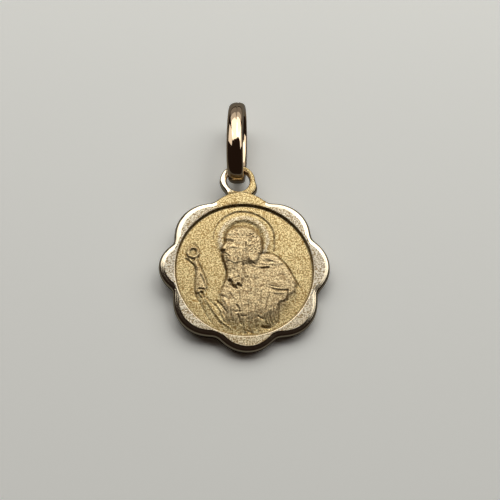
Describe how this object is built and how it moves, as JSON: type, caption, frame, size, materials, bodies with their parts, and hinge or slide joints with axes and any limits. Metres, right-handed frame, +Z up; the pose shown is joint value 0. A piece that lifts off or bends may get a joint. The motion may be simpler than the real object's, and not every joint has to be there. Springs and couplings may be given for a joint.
{
  "type": "religious medal pendant",
  "caption": "Round medal with a scalloped rim and a sunk field that holds a low relief of a bearded saint, hung by an eyelet from an oval loop.",
  "frame": {"origin": "on the table under the middle of the whole piece, as it lies on its back", "axes": "+Y from the medal to its hanging loop, +X to the right of someone who reads the medal, +Z up from the table"},
  "size_m": [0.0152, 0.0242, 0.0052],
  "materials": {
    "medal": null,
    "hanging_loop": null
  },
  "bodies": {
    "root": {"medal": "medal", "hanging_loop": "hanging_loop"}
  },
  "joints": []
}
